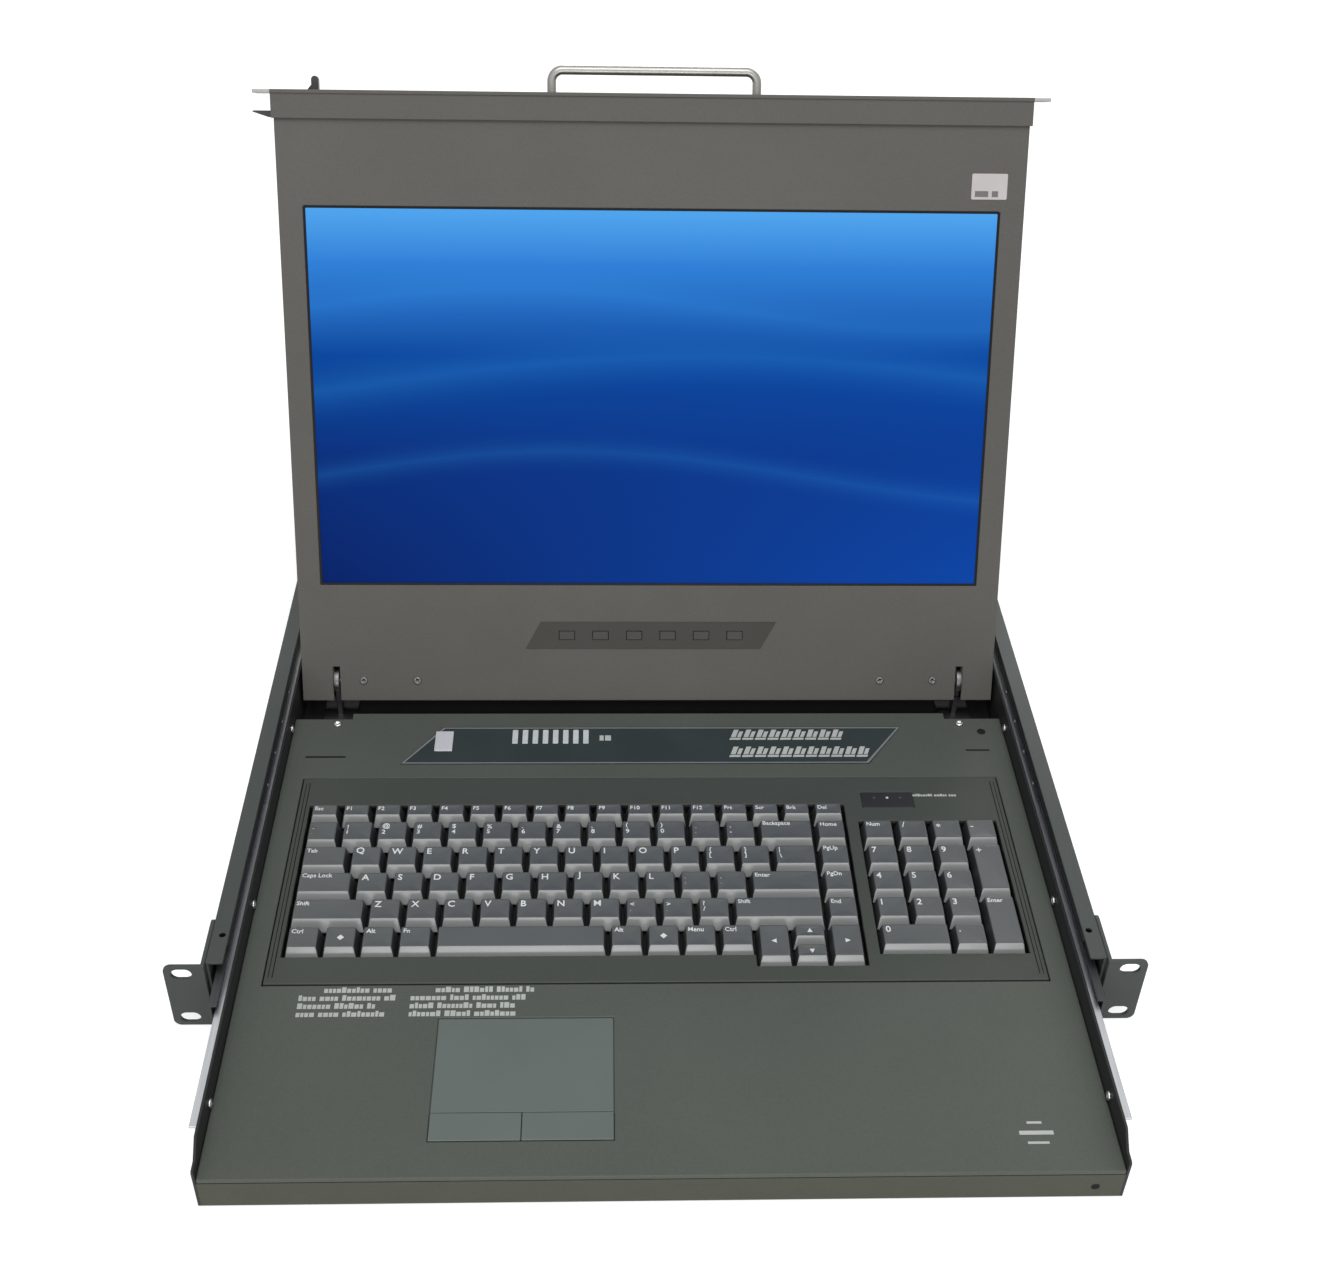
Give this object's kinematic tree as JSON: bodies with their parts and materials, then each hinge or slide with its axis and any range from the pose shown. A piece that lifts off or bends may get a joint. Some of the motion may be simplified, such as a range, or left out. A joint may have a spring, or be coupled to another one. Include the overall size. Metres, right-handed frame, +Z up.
{
  "type": "rackmount lcd console drawer",
  "caption": "One-unit rack drawer that slides out on telescopic rails and carries a keyboard, touchpad, switch panel and a folding flat display with pull handle and latch.",
  "frame": {"origin": "centre of the four slots in the front rack ears, on the face that bears on the posts", "axes": "+X to the right seen from the front, +Y to the back of the rack, +Z up"},
  "size_m": [0.4826, 0.753, 0.3528],
  "materials": {
    "frame_paint": "powder coat, satin, dark warm grey",
    "tray_paint": "powder coat, satin, dark grey",
    "deck_paint": "powder coat, fine texture, dark grey",
    "bezel_paint": "powder coat, fine texture, dark warm grey",
    "display_paint": "powder coat, satin, dark warm grey",
    "plate_paint": "powder coat, satin, dark warm grey",
    "rear_paint": "powder coat, satin, near black",
    "zinc": "zinc plated, satin",
    "bearing_steel": "plain steel",
    "hinge_steel": "blackened steel",
    "pin_steel": "ground steel",
    "screw_steel": "nickel plated",
    "screw_black": "blackened",
    "spring_steel": "drawn wire",
    "supply_steel": "folded sheet",
    "backlight_steel": "folded sheet",
    "connector_metal": "nickel plated shell",
    "handle_metal": "dark plated rod",
    "latch_black": "moulded black",
    "keyboard_plastic": "moulded, fine grain, dark grey",
    "keycap": "moulded, fine grain, dark grey with pale legends",
    "dome_rubber": "moulded silicone sheet",
    "pad_plastic": "fine satin, grey green",
    "membrane": "printed film, dark grey green",
    "membrane_button": "printed film, dark grey",
    "select_plastic": "moulded, pale grey",
    "lens": "smoked lens",
    "board": "solder mask, green",
    "inlet_plastic": "moulded black",
    "screen": "lit screen, blue gradient"
  },
  "bodies": {
    "rack_frame": {"rail_left": "frame_paint", "rail_right": "frame_paint", "ear_left": "frame_paint", "ear_right": "frame_paint", "rear_bracket_left": "frame_paint", "rear_bracket_right": "frame_paint", "rear_crossbar": "frame_paint", "rail_screws": "screw_steel", "slide_outer_left": "zinc", "slide_outer_right": "zinc"},
    "slide_middle": {"slide_middle_left": "zinc", "slide_middle_right": "zinc"},
    "outer_bearings": {"ball_cages_outer": "bearing_steel"},
    "inner_bearings": {"ball_cages_inner": "bearing_steel"},
    "drawer": {"tray": "tray_paint", "deck_plate": "deck_paint", "drawer_screws": "screw_steel", "keyboard_base": "keyboard_plastic", "dome_sheet": "dome_rubber", "indicator_lenses": "lens", "touchpad": "pad_plastic", "control_panel": "membrane", "control_board": "board", "bay_cover": "tray_paint", "rear_panel": "rear_paint", "port_connectors": "connector_metal", "kvm_board": "board", "power_inlet": "inlet_plastic", "power_supply": "supply_steel", "hinge_arms": "hinge_steel", "slide_inner_left": "zinc", "slide_inner_right": "zinc"},
    "display": {"display_shell": "display_paint", "display_bezel": "bezel_paint", "display_screws": "screw_black", "screen_panel": "screen", "screen_backlight": "backlight_steel", "display_board": "board", "osd_membrane": "membrane", "front_plate": "plate_paint", "pull_handle": "handle_metal", "hinge_leaves": "hinge_steel", "hinge_pins": "pin_steel", "latch_spring": "spring_steel"},
    "latch": {"latch_slider": "latch_black"},
    "osd_button_row": {"osd_buttons": "membrane_button"},
    "left_pad_button": {"pad_button_left": "pad_plastic"},
    "right_pad_button": {"pad_button_right": "pad_plastic"},
    "select": {"select_button": "select_plastic"},
    "backspace_key_cap": {"backspace_key": "keycap"},
    "enter_key_cap": {"enter_key": "keycap"},
    "function_keys_row": {"function_keys": "keycap"},
    "home_letter_keys_row": {"home_letter_keys": "keycap"},
    "keypad_keys_row": {"keypad_keys": "keycap"},
    "lower_letter_keys_row": {"lower_letter_keys": "keycap"},
    "modifier_keys_row": {"modifier_keys": "keycap"},
    "navigation_keys_row": {"navigation_keys": "keycap"},
    "number_keys_row": {"number_keys": "keycap"},
    "space_bar_cap": {"space_bar": "keycap"},
    "upper_letter_keys_row": {"upper_letter_keys": "keycap"}
  },
  "joints": [
    {"name": "drawer_slide", "type": "slide", "parent": "rack_frame", "child": "drawer", "axis": [0, 1, 0], "range_m": [-0.3, 0.1]},
    {"name": "middle_slide", "type": "slide", "parent": "rack_frame", "child": "slide_middle", "axis": [0, 1, 0], "range_m": [-0.15, 0.05]},
    {"name": "outer_bearing_roll", "type": "slide", "parent": "rack_frame", "child": "outer_bearings", "axis": [0, 1, 0], "range_m": [-0.075, 0.025]},
    {"name": "inner_bearing_roll", "type": "slide", "parent": "rack_frame", "child": "inner_bearings", "axis": [0, 1, 0], "range_m": [-0.225, 0.075]},
    {"name": "display_hinge", "type": "hinge", "parent": "drawer", "child": "display", "pos_m": [0, 0.2355, 0.00577], "axis": [1, 0, 0], "range_deg": [-8, 111.5]},
    {"name": "latch_slide", "type": "slide", "parent": "display", "child": "latch", "axis": [1, 0, 0], "range_m": [0, 0.005], "stiffness_N_per_m": 300, "springref_m": -0.004, "deforming": ["latch_spring"]},
    {"name": "osd_press", "type": "slide", "parent": "display", "child": "osd_button_row", "axis": [0, 0.9304, -0.3665], "range_m": [0, 0.0004], "stiffness_N_per_m": 2500, "springref_m": -0.0006},
    {"name": "left_pad_press", "type": "slide", "parent": "drawer", "child": "left_pad_button", "axis": [0, 0, -1], "range_m": [0, 0.0006], "stiffness_N_per_m": 900, "springref_m": -0.001},
    {"name": "right_pad_press", "type": "slide", "parent": "drawer", "child": "right_pad_button", "axis": [0, 0, -1], "range_m": [0, 0.0006], "stiffness_N_per_m": 900, "springref_m": -0.001},
    {"name": "select_press", "type": "slide", "parent": "drawer", "child": "select", "axis": [0, 0, -1], "range_m": [0, 0.0008], "stiffness_N_per_m": 900, "springref_m": -0.001},
    {"name": "backspace_key_press", "type": "slide", "parent": "drawer", "child": "backspace_key_cap", "axis": [0, 0, -1], "range_m": [0, 0.0022], "stiffness_N_per_m": 250, "springref_m": -0.0015},
    {"name": "enter_key_press", "type": "slide", "parent": "drawer", "child": "enter_key_cap", "axis": [0, 0, -1], "range_m": [0, 0.0022], "stiffness_N_per_m": 250, "springref_m": -0.0015},
    {"name": "function_keys_press", "type": "slide", "parent": "drawer", "child": "function_keys_row", "axis": [0, 0, -1], "range_m": [0, 0.0022], "stiffness_N_per_m": 1200, "springref_m": -0.0015},
    {"name": "home_letter_keys_press", "type": "slide", "parent": "drawer", "child": "home_letter_keys_row", "axis": [0, 0, -1], "range_m": [0, 0.0022], "stiffness_N_per_m": 1200, "springref_m": -0.0015},
    {"name": "keypad_keys_press", "type": "slide", "parent": "drawer", "child": "keypad_keys_row", "axis": [0, 0, -1], "range_m": [0, 0.0022], "stiffness_N_per_m": 1200, "springref_m": -0.0015},
    {"name": "lower_letter_keys_press", "type": "slide", "parent": "drawer", "child": "lower_letter_keys_row", "axis": [0, 0, -1], "range_m": [0, 0.0022], "stiffness_N_per_m": 1200, "springref_m": -0.0015},
    {"name": "modifier_keys_press", "type": "slide", "parent": "drawer", "child": "modifier_keys_row", "axis": [0, 0, -1], "range_m": [0, 0.0022], "stiffness_N_per_m": 1200, "springref_m": -0.0015},
    {"name": "navigation_keys_press", "type": "slide", "parent": "drawer", "child": "navigation_keys_row", "axis": [0, 0, -1], "range_m": [0, 0.0022], "stiffness_N_per_m": 1200, "springref_m": -0.0015},
    {"name": "number_keys_press", "type": "slide", "parent": "drawer", "child": "number_keys_row", "axis": [0, 0, -1], "range_m": [0, 0.0022], "stiffness_N_per_m": 1200, "springref_m": -0.0015},
    {"name": "space_bar_press", "type": "slide", "parent": "drawer", "child": "space_bar_cap", "axis": [0, 0, -1], "range_m": [0, 0.0022], "stiffness_N_per_m": 250, "springref_m": -0.0015},
    {"name": "upper_letter_keys_press", "type": "slide", "parent": "drawer", "child": "upper_letter_keys_row", "axis": [0, 0, -1], "range_m": [0, 0.0022], "stiffness_N_per_m": 1200, "springref_m": -0.0015}
  ],
  "couplings": [
    {"joint": "middle_slide", "follows": "drawer_slide", "ratio": 0.5},
    {"joint": "outer_bearing_roll", "follows": "drawer_slide", "ratio": 0.25},
    {"joint": "inner_bearing_roll", "follows": "drawer_slide", "ratio": 0.75}
  ]
}
